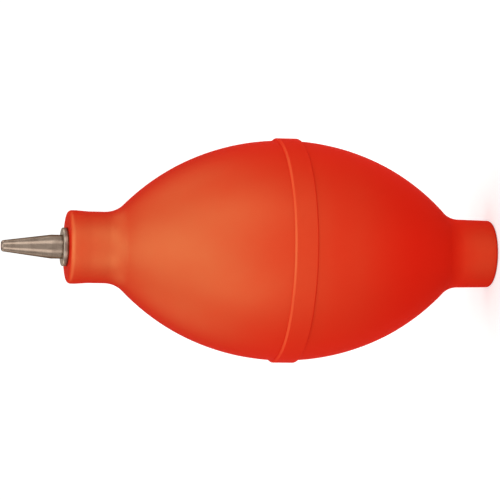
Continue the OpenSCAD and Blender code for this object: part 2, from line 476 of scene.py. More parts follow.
@dataclass(frozen=True)
class RolledSteel:
    """Stainless sheet or drawn wire, bright from the rolls."""

    # To the eye: a cool grey metal with fine scratches that all run one way
    name: str
    dark: str
    light: str
    roughness: Span
    scratch_mm: float = 0.08
    scratch_detail: float = 3.0
    scratch_gain: float = 0.6
    scratch_stretch: float = 14.0
    scratch_depth_mm: float = 0.002
    scratch_strength: float = 0.3
    # Where the noise of the scratches is darkest and lightest
    tone_span: Span = (0.25, 0.75)

    def material(self) -> bpy.types.Material:
        """Builds the steel's material.

        Returns:
            The material.
        """
        material, tree, place = new_material(self.name)
        along = add_node(
            tree, "Mapping", inputs={"Vector": place, "Scale": (1 / self.scratch_stretch, 1.0, 1.0)}
        ).outputs[0]
        scratches = add_node(
            tree,
            "TexNoise",
            inputs={
                "Vector": along,
                "Scale": per_metre(self.scratch_mm),
                "Detail": self.scratch_detail,
                "Roughness": self.scratch_gain,
            },
        ).outputs["Fac"]
        darkest, lightest = self.tone_span
        colour = add_node(
            tree,
            "ValToRGB",
            inputs={"Fac": scratches},
            stops=((darkest, self.dark), (lightest, self.light)),
        ).outputs["Color"]
        blur = add_node(
            tree,
            "MapRange",
            inputs={"Value": scratches, "To Min": self.roughness[0], "To Max": self.roughness[1]},
        ).outputs["Result"]
        skin = add_node(
            tree,
            "Bump",
            inputs={
                "Height": scratches,
                "Strength": self.scratch_strength,
                "Distance": self.scratch_depth_mm * MM,
            },
        ).outputs["Normal"]
        surface = add_node(
            tree,
            "BsdfPrincipled",
            inputs={"Base Color": colour, "Metallic": 1.0, "Roughness": blur, "Normal": skin},
        ).outputs[0]
        add_node(tree, "OutputMaterial", inputs={"Surface": surface})
        return material


def seen_directly(tree: bpy.types.NodeTree) -> bpy.types.NodeSocket:
    """Tells what the camera sees, also in metal and through glass, from light on its way elsewhere.

    Args:
        tree: Node tree that takes the nodes.

    Returns:
        A socket that is 1 for what the camera sees, and 0 for other light.
    """
    rays = add_node(tree, "LightPath").outputs
    mirrored = add_node(
        tree, "Math", {"operation": "MAXIMUM"}, {0: rays["Is Glossy Ray"], 1: rays["Is Transmission Ray"]}
    ).outputs[0]
    return add_node(
        tree, "Math", {"operation": "MAXIMUM"}, {0: rays["Is Camera Ray"], 1: mirrored}
    ).outputs[0]


@dataclass(frozen=True)
class PaperFloor:
    """White background paper, diffuse."""

    # To the eye: even white, a little cloudy from its fibres, with the bulb's soft shadow on it
    name: str = "white_background_paper"
    shade: str = "#D8D7D5"
    light: str = "#DEDDDB"
    # The lamps light the paper less far away, so there it glows more towards the camera
    near_m: float = 0.25
    near_glow: float = 0.5
    far_m: float = 1.1
    far_glow: float = 0.74
    fibre_mm: float = 9.0
    fibre_detail: float = 3.0

    def material(self) -> bpy.types.Material:
        """Builds the paper's material.

        Returns:
            The material.
        """
        material, tree, place = new_material(self.name)
        fibres = add_node(
            tree,
            "TexNoise",
            inputs={"Vector": place, "Scale": per_metre(self.fibre_mm), "Detail": self.fibre_detail},
        ).outputs["Fac"]
        colour = add_node(
            tree, "ValToRGB", inputs={"Fac": fibres}, stops=((0.0, self.shade), (1.0, self.light))
        ).outputs["Color"]
        paper = add_node(tree, "BsdfDiffuse", inputs={"Color": colour}).outputs[0]
        distance = add_node(tree, "VectorMath", {"operation": "LENGTH"}, {0: place}).outputs["Value"]
        level = add_node(
            tree,
            "MapRange",
            inputs={
                "Value": distance,
                "From Min": self.near_m,
                "From Max": self.far_m,
                "To Min": self.near_glow,
                "To Max": self.far_glow,
            },
        ).outputs["Result"]
        strength = add_node(
            tree, "Math", {"operation": "MULTIPLY"}, {0: seen_directly(tree), 1: level}
        ).outputs[0]
        glow = add_node(tree, "Emission", inputs={"Strength": strength}).outputs[0]
        surface = add_node(tree, "AddShader", inputs={0: paper, 1: glow}).outputs[0]
        add_node(tree, "OutputMaterial", inputs={"Surface": surface})
        return material


def place_of(point: Point) -> Vector:
    """Place in metres, in the XZ plane, of a point in millimetres."""
    return Vector((point[0] * MM, 0.0, point[1] * MM))


def heights(node: str) -> Span:
    """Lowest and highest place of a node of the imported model, in millimetres."""
    low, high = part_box(node)
    return low.z / MM, high.z / MM


def deselect_all() -> None:
    """Leaves edit mode and deselects every object."""
    if bpy.context.object is not None and bpy.context.object.mode != "OBJECT":
        bpy.ops.object.mode_set(mode="OBJECT")
    bpy.ops.object.select_all(action="DESELECT")


def select_only(piece: bpy.types.Object) -> None:
    """Selects one piece in object mode and makes it the active one.

    Args:
        piece: Piece to select.
    """
    deselect_all()
    piece.select_set(True)
    bpy.context.view_layer.objects.active = piece


def select_where(piece: bpy.types.Object, test: Callable[[Vector], bool]) -> None:
    """Selects the vertices of the piece in edit mode whose place passes a test.

    Args:
        piece: Piece that is in edit mode.
        test: Says of a vertex's place, in metres, whether it is selected.
    """
    mesh = bmesh.from_edit_mesh(piece.data)
    bpy.ops.mesh.select_all(action="DESELECT")
    for vertex in mesh.verts:
        vertex.select_set(test(vertex.co))
    mesh.select_flush_mode()
    bmesh.update_edit_mesh(piece.data)


def extrude_along(places: Sequence[Vector]) -> None:
    """Extrudes what is selected in edit mode from the first place, in metres, to each of the next."""
    for start, end in zip(places, places[1:]):
        bpy.ops.mesh.extrude_region_move(TRANSFORM_OT_translate={"value": end - start})


def draw_outline(name: str, outline: Sequence[Point]) -> bpy.types.Object:
    """Draws a closed half section: a plane is merged to a point, which is extruded from corner to corner.

    Args:
        name: Name of the new piece.
        outline: Corners of the half section, in millimetres.

    Returns:
        The piece, in edit mode.
    """
    deselect_all()
    bpy.ops.mesh.primitive_plane_add(size=MM)
    piece = bpy.context.object
    piece.name = piece.data.name = name
    bpy.ops.object.mode_set(mode="EDIT")
    bpy.ops.mesh.select_all(action="SELECT")
    bpy.ops.mesh.merge(type="CENTER")
    bpy.ops.transform.translate(value=place_of(outline[0]))
    extrude_along([place_of(corner) for corner in (*outline, outline[0])])
    bpy.ops.mesh.select_all(action="SELECT")
    bpy.ops.mesh.remove_doubles(threshold=MERGE_MM * MM)
    return piece


def round_corners(piece: bpy.types.Object, corners: Iterable[Point], radius: float) -> None:
    """Rounds corners of an outline that is still flat.

    Args:
        piece: Piece that is in edit mode.
        corners: Corners to round, in millimetres.
        radius: Reach of the rounding along both sides, in millimetres.
    """
    places = [place_of(corner) for corner in corners]
    select_where(piece, lambda co: any((co - place).length < SAME_MM * MM for place in places))
    bpy.ops.mesh.bevel(offset=radius * MM, segments=ROUND_SEGMENTS, affect="VERTICES")


def spin_round(piece: bpy.types.Object, steps: int, degrees: float = FULL_TURN_DEG) -> bpy.types.Object:
    """Spins the drawn outline round the Z axis and closes it.

    Args:
        piece: Piece that is in edit mode.
        steps: Steps round the axis.
        degrees: How far it is spun; short of a full turn, its ends are filled.

    Returns:
        The piece, in object mode.
    """
    bpy.ops.mesh.select_all(action="SELECT")
    bpy.ops.mesh.spin(steps=steps, angle=math.radians(degrees), center=(0, 0, 0), axis=(0, 0, 1))
    bpy.ops.mesh.select_all(action="SELECT")
    bpy.ops.mesh.remove_doubles(threshold=MERGE_MM * MM)
    if degrees < FULL_TURN_DEG:
        bpy.ops.mesh.select_all(action="DESELECT")
        bpy.ops.mesh.select_non_manifold()
        bpy.ops.mesh.fill_holes(sides=0)
        bpy.ops.mesh.select_all(action="SELECT")
    bpy.ops.mesh.normals_make_consistent(inside=False)
    bpy.ops.object.mode_set(mode="OBJECT")
    return piece


def finish_piece(
    piece: bpy.types.Object, finish: bpy.types.Material, nodes: Sequence[str], body: Body | None
) -> None:
    """Smooths a piece, gives it its material and says which nodes it stands for.

    Args:
        piece: Finished mesh, in object mode.
        finish: Material of the piece.
        nodes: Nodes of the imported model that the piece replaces.
        body: Body that it rides on, or None where it bends between two.
    """
    select_only(piece)
    bpy.ops.object.shade_smooth_by_angle(angle=math.radians(SMOOTH_DEG))
    piece.data.materials.clear()
    piece.data.materials.append(finish)
    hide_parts(*nodes)
    if body is not None:
        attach(piece, body.value)
    log.info("%s: %d faces, stands for %s", piece.name, len(piece.data.polygons), ", ".join(nodes))


@dataclass(frozen=True)
class Curve:
    """A circle that a half section follows, in millimetres."""

    r: float
    z: float
    radius: float

    def r_at(self, z: float) -> float:
        """Distance from the axis of the circle's outer side, at a height."""
        return self.r + math.sqrt(self.radius**2 - (z - self.z) ** 2)

    def z_at(self, r: float, way: int) -> float:
        """Height of the circle at a distance from the axis, above (1) or below (-1) its centre."""
        return self.z + way * math.sqrt(self.radius**2 - (r - self.r) ** 2)

    def run(self, start: Point, end: Point, step: float) -> list[Point]:
        """Follows the circle the shorter way.

        Args:
            start: Point in whose direction the run starts.
            end: Point in whose direction it ends.
            step: Longest distance between its points.

        Returns:
            The points, with both ends.
        """
        first, last = (math.atan2(z - self.z, r - self.r) for r, z in (start, end))
        turn = (last - first + math.pi) % math.tau - math.pi
        count = max(2, math.ceil(abs(turn) * self.radius / step))
        angles = [first + turn * i / count for i in range(count + 1)]
        return [(self.r + self.radius * math.cos(a), self.z + self.radius * math.sin(a)) for a in angles]


def crossing(a: Curve, b: Curve, way: int) -> Point:
    """Point where two circles of one height cross, above (1) or below (-1) their centres."""
    r = (a.radius**2 - b.radius**2 - a.r**2 + b.r**2) / (2 * (b.r - a.r))
    return r, a.z_at(r, way)


def straight(start: Point, end: Point, step: float) -> list[Point]:
    """Points of a straight stretch, with both ends.

    Args:
        start: Its first point.
        end: Its last point.
        step: Longest distance between its points.

    Returns:
        The points.
    """
    (first_r, first_z), (last_r, last_z) = start, end
    count = max(1, math.ceil(math.dist(start, end) / step))
    shares = [i / count for i in range(count + 1)]
    return [(first_r + (last_r - first_r) * s, first_z + (last_z - first_z) * s) for s in shares]


def joined(*runs: Sequence[Point]) -> list[Point]:
    """Joins several runs to one outline.

    Args:
        runs: Runs in the order in which the outline follows them.

    Returns:
        The outline, without points that repeat.
    """
    outline: list[Point] = []
    for point in (p for run in runs for p in run):
        if not outline or math.dist(outline[-1], point) > SAME_MM:
            outline.append(point)
    if math.dist(outline[0], outline[-1]) <= SAME_MM:
        outline.pop()
    return outline


@dataclass(frozen=True)
class Barbs:
    """Barbs that hold a metal insert in the rubber, in millimetres."""

    height: float = 0.45
    ramp: float = 1.8
    pitch: float = 2.6
    setback: float = 2.0
    count: int = 2

    def run(self, r: float, end_z: float, way: int, far_z: float) -> list[Point]:
        """Follows an insert's side from its outer end.

        Args:
            r: Radius of the side between the barbs.
            end_z: Height of the outer end.
            way: 1 where the insert runs upwards, -1 where it runs downwards.
            far_z: Height of the far end.

        Returns:
            Its corners.
        """
        corners = [(r, end_z)]
        for i in range(self.count):
            catch = end_z + way * (self.setback + i * self.pitch)
            corners += [(r, catch), (r + self.height, catch), (r, catch + way * self.ramp)]
        return [*corners, (r, far_z)]


@dataclass
class RubberBody:
    """The two half shells of the bulb and the band over their joint, in millimetres."""

    finish: MouldedRubber = field(default_factory=MouldedRubber)
    barbs: Barbs = field(default_factory=Barbs)
    belly_r: float = 24.25
    middle_curve_r: float = 50.8
    middle_l: float = 46.0
    shoulder_ease: float = 0.6
    wall: float = 2.6
    tail_neck_r: float = 7.6
    tail_taper: float = 0.14
    tail_edge_r: float = 0.8
    tail_fillet_r: float = 5.6
    mouth_r: float = 3.2
    mouth_edge_r: float = 0.45
    tail_lip_t: float = 1.2
    waist_r: float = 7.8
    waist_l: float = 3.6
    lip_r: float = 8.0
    lip_l: float = 1.8
    lip_edge_r: float = 0.9
    front_fillet_r: float = 6.0
    sleeve_bore_r: float = 3.02
    valve_bore_r: float = 4.09
    lap_l: float = 4.0
    cement: float = 0.03
    band_edge_r: float = 0.44
    band_bevel_w: float = 0.5
    band_bevel_h: float = 0.42
    blend_from: float = 8.0
    outer_step: float = 0.7
    neck_step: float = 0.35
    inner_step: float = 2.0
    fine_step: float = 0.12
    band_step: float = 0.04
    steps: int = 192
    belly_z: float = field(init=False)
    band_low: float = field(init=False)
    band_high: float = field(init=False)
    band_r: float = field(init=False)
    lip_z: float = field(init=False)
    lap_r: float = field(init=False)

    def __post_init__(self) -> None:
        """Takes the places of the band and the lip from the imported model."""
        self.band_low, self.band_high = heights("seam_band")
        self.belly_z = (self.band_low + self.band_high) / 2
        self.band_r = -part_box("seam_band")[0].x / MM
        self.lip_z = heights("front_half_shell")[1]
        self.lap_r = self.belly_r - self.wall / 2

    def curves(self, inset: float) -> tuple[Curve, Curve]:
        """Finds the two curves that the belly follows.

        Args:
            inset: Distance inside the outer skin.

        Returns:
            The middle curve and the shoulder curve.
        """
        half = self.middle_l / 2
        middle_axis = self.belly_r - self.middle_curve_r
        joint_r = middle_axis + math.sqrt(self.middle_curve_r**2 - half**2)
        shoulder_r = self.middle_curve_r - self.shoulder_ease
        shoulder_axis = joint_r - math.sqrt(shoulder_r**2 - half**2)
        middle = Curve(middle_axis, self.belly_z, self.middle_curve_r - inset)
        return middle, Curve(shoulder_axis, self.belly_z, shoulder_r - inset)

    def belly_run(self, end: End, start_z: float, last: Point, inset: float, step: float) -> list[Point]:
        """Follows the belly from a height on its middle curve to a point on its shoulder.

        Args:
            end: End of the bulb that the run goes to.
            start_z: Height where it starts.
            last: Point in whose direction it ends.
            inset: Distance inside the outer skin.
            step: Longest distance between its points.

        Returns:
            The points.
        """
        middle, shoulder = self.curves(inset)
        turn = crossing(middle, shoulder, end.value)
        return [
            *middle.run((middle.r_at(start_z), start_z), turn, step),
            *shoulder.run(turn, last, step),
        ]

    def fillet(self, end: End, neck_r: float, fillet_r: float) -> Curve:
        """Finds the hollow curve between the belly and a neck.

        Args:
            end: End of the bulb that the neck is at.
            neck_r: Radius of the neck.
            fillet_r: Radius of the hollow.

        Returns:
            The curve.
        """
        shoulder = self.curves(0.0)[1]
        reach = Curve(shoulder.r, shoulder.z, shoulder.radius + fillet_r)
        return Curve(neck_r + fillet_r, reach.z_at(neck_r + fillet_r, end.value), fillet_r)

    def shoulder_to_neck(self, end: End, start_z: float, neck_r: float, fillet_r: float) -> list[Point]:
        """Follows the outer skin from a height beside the band over the shoulder and the fillet to a neck.

        Args:
            end: End of the bulb that the run goes to.
            start_z: Height where it starts.
            neck_r: Radius of the neck.
            fillet_r: Radius of the fillet.

        Returns:
            The points.
        """
        hollow = self.fillet(end, neck_r, fillet_r)
        shoulder = self.curves(0.0)[1]
        return [
            *self.belly_run(end, start_z, (hollow.r, hollow.z), 0.0, self.outer_step),
            *hollow.run((shoulder.r, shoulder.z), (neck_r, hollow.z), self.neck_step),
        ]

    def chamber_run(self, end: End, bore_r: float, lap_z: float) -> list[Point]:
        """Follows the air chamber's wall from a neck's bore to the lap under the band.

        Args:
            end: End of the bulb that the run starts from.
            bore_r: Radius of the bore.
            lap_z: Height where it ends.

        Returns:
            The points.
        """
        shoulder = self.curves(self.wall)[1]
        mouth = (bore_r, shoulder.z_at(bore_r, end.value))
        return self.belly_run(end, lap_z, mouth, self.wall, self.inner_step)[::-1]

    def front_outline(self) -> list[Point]:
        """Draws the half section of the front half shell.

        Returns:
            The outline.
        """
        upper, lower = self.belly_z + self.lap_l / 2, self.belly_z - self.lap_l / 2
        inner_lap_r = self.lap_r - self.cement / 2
        waist = (self.waist_r, self.fillet(End.FRONT, self.waist_r, self.front_fillet_r).z)
        waist_end = (self.waist_r, waist[1] + self.waist_l)
        lip = (self.lip_r, self.lip_z - self.lip_l)
        edge = Curve(self.lip_r - self.lip_edge_r, self.lip_z - self.lip_edge_r, self.lip_edge_r)
        side = (self.lip_r, edge.z)
        chamber = self.chamber_run(End.FRONT, self.sleeve_bore_r, lower)
        # The inner layer laps past the middle, so the chamber's wall starts below the belly's widest place
        return joined(
            self.shoulder_to_neck(End.FRONT, upper, self.waist_r, self.front_fillet_r),
            straight(waist, waist_end, self.outer_step),
            straight(waist_end, lip, self.outer_step),
            straight(lip, side, self.neck_step),
            edge.run(side, (edge.r, self.lip_z), self.fine_step),
            straight((edge.r, self.lip_z), (self.sleeve_bore_r, self.lip_z), self.outer_step),
            self.barbs.run(self.sleeve_bore_r, self.lip_z, -1, chamber[0][1]),
            chamber,
            [(inner_lap_r, lower), (inner_lap_r, upper)],
        )

    def rear_outline(self) -> list[Point]:
        """Draws the half section of the rear half shell.

        Returns:
            The outline.
        """
        upper = self.belly_z + self.lap_l / 2 - self.cement
        lower = self.belly_z - self.lap_l / 2 - self.cement
        outer_lap_r = self.lap_r + self.cement / 2
        hollow_z = self.fillet(End.TAIL, self.tail_neck_r, self.tail_fillet_r).z
        end_r = self.tail_neck_r - self.tail_taper
        edge = Curve(end_r - self.tail_edge_r, self.tail_edge_r, self.tail_edge_r)
        rim = Curve(self.mouth_r + self.mouth_edge_r, self.mouth_edge_r, self.mouth_edge_r)
        chamber = self.chamber_run(End.TAIL, self.valve_bore_r, lower)
        return joined(
            self.shoulder_to_neck(End.TAIL, upper, self.tail_neck_r, self.tail_fillet_r),
            straight((self.tail_neck_r, hollow_z), (end_r, edge.z), self.outer_step),
            edge.run((end_r, edge.z), (edge.r, 0.0), self.fine_step),
            straight((edge.r, 0.0), (rim.r, 0.0), self.neck_step),
            rim.run((rim.r, 0.0), (self.mouth_r, rim.z), self.fine_step),
            [(self.mouth_r, rim.z), (self.mouth_r, self.tail_lip_t)],
            self.barbs.run(self.valve_bore_r, self.tail_lip_t, 1, chamber[0][1]),
            chamber,
            [(outer_lap_r, lower), (outer_lap_r, upper)],
        )

    def band_outline(self) -> list[Point]:
        """Draws the half section of the raised band, which lies on both halves and is bevelled in front.

        Returns:
            The outline.
        """
        middle = self.curves(0.0)[0]
        low, high = self.band_low, self.band_high
        bevel = (self.band_r, high - self.band_bevel_w)
        edge = Curve(self.band_r - self.band_edge_r, low + self.band_edge_r, self.band_edge_r)
        side = (self.band_r, edge.z)
        return joined(
            middle.run((middle.r_at(low), low), (middle.r_at(high), high), self.outer_step),
            straight((self.band_r - self.band_bevel_h, high), bevel, self.fine_step),
            straight(bevel, side, self.neck_step),
            edge.run(side, (edge.r, low), self.band_step),
        )

    def build(self) -> None:
        """Models the two halves and the band, and dresses them in place of the shells, thumb walls and band.
        """
        bevel = (self.band_high - self.band_bevel_w, self.band_high)
        lip = (self.lip_z - self.lip_edge_r, self.lip_z + self.lip_edge_r)
        # The band's bevel and the lip's rounded edge get a painted highlight in the rubber's sheen
        rubber = self.finish.material((bevel, lip))
        for name, outline, nodes in (
            ("front_half_skin", self.front_outline(), ("front_half_shell", "front_thumb_wall")),
            ("rear_half_skin", self.rear_outline(), ("rear_half_shell", "rear_thumb_wall")),
            ("seam_band_skin", self.band_outline(), ("seam_band", "band_thumb_arc")),
        ):
            skin = spin_round(draw_outline(name, outline), self.steps)
            finish_piece(skin, rubber, nodes, None)
            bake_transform(skin)


@dataclass
class NozzleSet:
    """The flanged ferrule in the front neck and the tapered nozzle in it, in millimetres."""

    # The nozzle's dark brown grazing colour is painted shade on the reflections along its sides
    nozzle_finish: TurnedMetal = field(
        default_factory=lambda: TurnedMetal(
            "worn_nickel_plated_brass", "#6A5B50", "#857669", (0.26, 0.34), edge="#7A5F50"
        )
    )
    ferrule_finish: TurnedMetal = field(
        default_factory=lambda: TurnedMetal(
            "bright_nickel_plated_brass", "#75665A", "#908275", (0.26, 0.34), edge="#CFC2B4"
        )
    )
    barbs: Barbs = field(default_factory=Barbs)
    flange_r: float = 4.2
    flange_t: float = 1.2
    flange_edge_r: float = 0.3
    groove_depth: float = 0.07
    groove_w: float = 0.12
    groove_setback: float = 0.36
    sleeve_r: float = 3.0
    sleeve_l: float = 9.6
    ferrule_bore_r: float = 2.02
    shank_r: float = 2.0
    shank_l: float = 7.2
    stub_r: float = 2.6
    stub_l: float = 2.3
    tip_r: float = 1.25
    tip_edge_r: float = 0.55
    tip_bore_r: float = 0.6
    tip_bore_l: float = 2.0
    bore_r: float = 1.3
    small_edge: float = 0.05
    cone_step: float = 0.5
    steps: int = 128
    flange_z: float = field(init=False)
    tip_z: float = field(init=False)

    def __post_init__(self) -> None:
        """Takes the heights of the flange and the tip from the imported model."""
        self.flange_z = heights("neck_ferrule")[1]
        self.tip_z = heights("nozzle_tube")[1]

    def ferrule(self) -> bpy.types.Object:
        """Models the ferrule, with a fine groove round its flange.

        Returns:
            The ferrule.
        """
        lip_z = self.flange_z - self.flange_t
        groove_z = self.flange_z - self.groove_setback
        far_z = lip_z - self.sleeve_l
        side = self.flange_r
        rim_r = side - self.flange_edge_r
        upper = Curve(rim_r, self.flange_z - self.flange_edge_r, self.flange_edge_r)
        lower = Curve(rim_r, lip_z + self.flange_edge_r, self.flange_edge_r)
        groove = [
            (side, groove_z),
            (side - self.groove_depth, groove_z),
            (side - self.groove_depth, groove_z - self.groove_w),
            (side, groove_z - self.groove_w),
        ]
        outline = joined(
            straight((self.ferrule_bore_r, self.flange_z), (upper.r, self.flange_z), self.cone_step),
            upper.run((upper.r, self.flange_z), (side, upper.z), self.small_edge),
            groove,
            lower.run((side, lower.z), (lower.r, lip_z), self.small_edge),
            self.barbs.run(self.sleeve_r, lip_z, -1, far_z),
            [(self.ferrule_bore_r, far_z)],
        )
        return spin_round(draw_outline("neck_ferrule_turned", outline), self.steps)

    def nozzle(self) -> bpy.types.Object:
        """Models the nozzle, with its air bore and its rounded tip.

        Returns:
            The nozzle.
        """
        shank_z = self.flange_z - self.shank_l
        cone_z = self.flange_z + self.stub_l
        tip = Curve(self.tip_r - self.tip_edge_r, self.tip_z - self.tip_edge_r, self.tip_edge_r)
        mouth = (self.tip_bore_r, self.tip_z)
        outline = joined(
            [(self.bore_r, shank_z), (self.shank_r, shank_z), (self.shank_r, self.flange_z)],
            straight((self.stub_r, self.flange_z), (self.stub_r, cone_z), self.cone_step),
            straight((self.stub_r, cone_z), (self.tip_r, tip.z), self.cone_step),
            tip.run((self.tip_r, tip.z), (tip.r, self.tip_z), self.small_edge),
            [mouth, (self.tip_bore_r, self.tip_z - self.tip_bore_l), (self.bore_r, cone_z)],
        )
        piece = draw_outline("nozzle_turned", outline)
        round_corners(piece, [mouth, (self.shank_r, shank_z)], self.small_edge)
        return spin_round(piece, self.steps)

    def build(self) -> None:
        """Models both pieces and dresses them."""
        bright, worn = self.ferrule_finish.material(), self.nozzle_finish.material()
        finish_piece(self.ferrule(), bright, ("neck_ferrule",), Body.BULB)
        finish_piece(self.nozzle(), worn, ("nozzle_tube",), Body.BULB)


@dataclass
class InletValve:
    """The ball valve in the tail neck, with its guard, gauze and snap rings, in millimetres."""

    bush_finish: TurnedMetal = field(
        default_factory=lambda: TurnedMetal("dull_nickel_plated_bush", "#8E7D6F", "#A59686", (0.3, 0.42))
    )
    ball_finish: TurnedMetal = field(
        default_factory=lambda: TurnedMetal(
            "polished_bearing_steel", "#C3C4C7", "#D2D3D6", (0.08, 0.14), ring_mm=0.5
        )
    )
    sheet_finish: RolledSteel = field(
        default_factory=lambda: RolledSteel("punched_stainless_sheet", "#A9AAAC", "#C2C3C5", (0.28, 0.4))
    )
    spring_finish: RolledSteel = field(
        default_factory=lambda: RolledSteel("spring_steel_strip", "#8F9196", "#ABADB2", (0.2, 0.32))
    )
    gauze_finish: RolledSteel = field(
        default_factory=lambda: RolledSteel("woven_stainless_wire", "#9C9890", "#B9B5AD", (0.26, 0.36))
    )
    barbs: Barbs = field(default_factory=Barbs)
    bush_r: float = 4.07
    pocket_r: float = 3.2
    groove_r: float = 3.47
    chamber_r: float = 2.6
    inlet_r: float = 1.4
    inlet_l: float = 1.0
    ring_w: float = 0.8
    ring_edge_r: float = 0.12
    ring_gap_deg: float = 50.0
    guard_hole_r: float = 0.55
    guard_holes: int = 6
    hole_steps: int = 32
    wire_r: float = 0.07
    wire_pitch: float = 0.52
    rim_w: float = 0.5
    rim_fold: float = 0.1
    small_edge: float = 0.05
    edge_segments: int = 2
    steps: int = 96
    ball_cuts: int = 23
    wire_sides: int = 8
    rings_per_pitch: int = 4

    def bush(self) -> bpy.types.Object:
        """Models the turned bush, with the gauze pocket, the seat, the chamber and the guard pocket.

        Returns:
            The bush.
        """
        low, high = heights("inlet_valve_body")
        screen_low, screen_high = heights("screen_ring")
        ring_low, ring_high = heights("guard_ring")
        guard_low = heights("ball_guard")[0]
        inlet_z = heights("inlet_screen")[1]
        seat_z = inlet_z + self.inlet_l
        outline = joined(
            [(self.pocket_r, low)],
            self.barbs.run(self.bush_r, low, 1, high),
            [(self.pocket_r, high), (self.pocket_r, ring_high), (self.groove_r, ring_high)],
            [(self.groove_r, ring_low), (self.pocket_r, ring_low), (self.pocket_r, guard_low)],
            [(self.chamber_r, guard_low), (self.chamber_r, seat_z + self.chamber_r - self.inlet_r)],
            [(self.inlet_r, seat_z), (self.inlet_r, inlet_z), (self.pocket_r, inlet_z)],
            [(self.pocket_r, screen_high), (self.groove_r, screen_high)],
            [(self.groove_r, screen_low), (self.pocket_r, screen_low)],
        )
        piece = draw_outline("inlet_valve_bush", outline)
        rims = [(self.pocket_r, low), (self.bush_r, low), (self.bush_r, high), (self.pocket_r, high)]
        round_corners(piece, rims, self.small_edge)
        return spin_round(piece, self.steps)

    def ball(self) -> bpy.types.Object:
        """Models the ball from a cube that is cut up and cast to a sphere.

        Returns:
            The ball.
        """
        low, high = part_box("valve_ball")
        radius = (high.z - low.z) / 2
        deselect_all()
        bpy.ops.mesh.primitive_cube_add(size=2 * radius, location=(low + high) / 2)
        piece = bpy.context.object
        piece.name = piece.data.name = "valve_ball_polished"
        bpy.ops.object.mode_set(mode="EDIT")
        bpy.ops.mesh.select_all(action="SELECT")
        bpy.ops.mesh.subdivide(number_cuts=self.ball_cuts)
        bpy.ops.object.mode_set(mode="OBJECT")
        bpy.ops.object.modifier_add(type="CAST")
        cast = piece.modifiers[-1]
        cast.cast_type = "SPHERE"
        cast.factor = 1.0
        cast.use_radius_as_size = False
        cast.size = radius
        bpy.ops.object.modifier_apply(modifier=cast.name)
        bpy.ops.object.transform_apply(location=True, rotation=True, scale=True)
        return piece

    def guard(self) -> bpy.types.Object:
        """Models the perforated guard: circles filled to a disc with holes, and drawn up to its thickness.

        Returns:
            The guard.
        """
        low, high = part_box("ball_guard")
        ring_r = (self.chamber_r - self.guard_hole_r) * MM
        deselect_all()
        bpy.ops.mesh.primitive_circle_add(vertices=self.steps, radius=high.x, location=(0, 0, low.z))
        piece = bpy.context.object
        piece.name = piece.data.name = "ball_guard_punched"
        bpy.ops.object.transform_apply(location=True, rotation=True, scale=True)
        bpy.ops.object.mode_set(mode="EDIT")
        for i in range(self.guard_holes):
            angle = math.tau * i / self.guard_holes
            centre = (ring_r * math.cos(angle), ring_r * math.sin(angle), low.z)
            bpy.ops.mesh.primitive_circle_add(
                vertices=self.hole_steps, radius=self.guard_hole_r * MM, location=centre
            )
        bpy.ops.mesh.select_all(action="SELECT")
        bpy.ops.mesh.fill(use_beauty=True)
        bpy.ops.mesh.select_all(action="SELECT")
        bpy.ops.mesh.extrude_region_move(TRANSFORM_OT_translate={"value": (0, 0, high.z - low.z)})
        bpy.ops.mesh.select_all(action="SELECT")
        bpy.ops.mesh.normals_make_consistent(inside=False)
        bpy.ops.object.mode_set(mode="OBJECT")
        self.break_edges(piece)
        return piece

    def break_edges(self, piece: bpy.types.Object) -> None:
        """Takes the sharpness off a punched piece's edges.

        Args:
            piece: Punched piece, in object mode.
        """
        select_only(piece)
        bpy.ops.object.modifier_add(type="BEVEL")
        bevel = piece.modifiers[-1]
        bevel.width = self.small_edge * MM
        bevel.segments = self.edge_segments
        bevel.limit_method = "ANGLE"
        bpy.ops.object.modifier_apply(modifier=bevel.name)

    def rounded_ring(
        self, name: str, radii: Span, faces: Span, edge_r: float, degrees: float = FULL_TURN_DEG
    ) -> bpy.types.Object:
        """Models a ring of rectangular section with rounded edges.

        Args:
            name: Name of the new piece.
            radii: Its inner and its outer radius.
            faces: Heights of its lower and its upper face.
            edge_r: Reach of the rounding.
            degrees: How far it goes round.

        Returns:
            The ring.
        """
        (inner, outer), (low, high) = radii, faces
        corners = [(inner, low), (outer, low), (outer, high), (inner, high)]
        piece = draw_outline(name, corners)
        round_corners(piece, corners, edge_r)
        return spin_round(piece, self.steps, degrees)

    def snap_ring(self, node: str) -> bpy.types.Object:
        """Models one open snap ring where its node is, with its gap towards the thumb.

        Args:
            node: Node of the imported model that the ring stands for.

        Returns:
            The ring.
        """
        outer = -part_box(node)[0].x / MM
        radii = (outer - self.ring_w, outer)
        turn = FULL_TURN_DEG - self.ring_gap_deg
        piece = self.rounded_ring(f"{node}_sprung", radii, heights(node), self.ring_edge_r, turn)
        piece.rotation_euler.z = math.radians(self.ring_gap_deg / 2)
        bpy.ops.object.transform_apply(location=True, rotation=True, scale=True)
        return piece

    def wire(self, length: float, height: float) -> bpy.types.Object:
        """Models the longest wire of the gauze: a circle, extruded along X over and under the others.

        Args:
            length: Its length, in millimetres.
            height: Height of the middle of the gauze, in millimetres.

        Returns:
            The wire, with open ends.
        """
        count = round(length / self.wire_pitch) * self.rings_per_pitch
        places = [length * (i / count - 0.5) for i in range(count + 1)]
        waves = [self.wire_r * math.cos(math.pi * x / self.wire_pitch) for x in places]
        route = [place_of((x, height + wave)) for x, wave in zip(places, waves)]
        deselect_all()
        bpy.ops.mesh.primitive_circle_add(
            vertices=self.wire_sides,
            radius=self.wire_r * MM,
            location=route[0],
            rotation=(0, math.pi / 2, 0),
        )
        piece = bpy.context.object
        bpy.ops.object.transform_apply(location=True, rotation=True, scale=True)
        bpy.ops.object.mode_set(mode="EDIT")
        bpy.ops.mesh.select_all(action="SELECT")
        extrude_along(route)
        bpy.ops.object.mode_set(mode="OBJECT")
        return piece

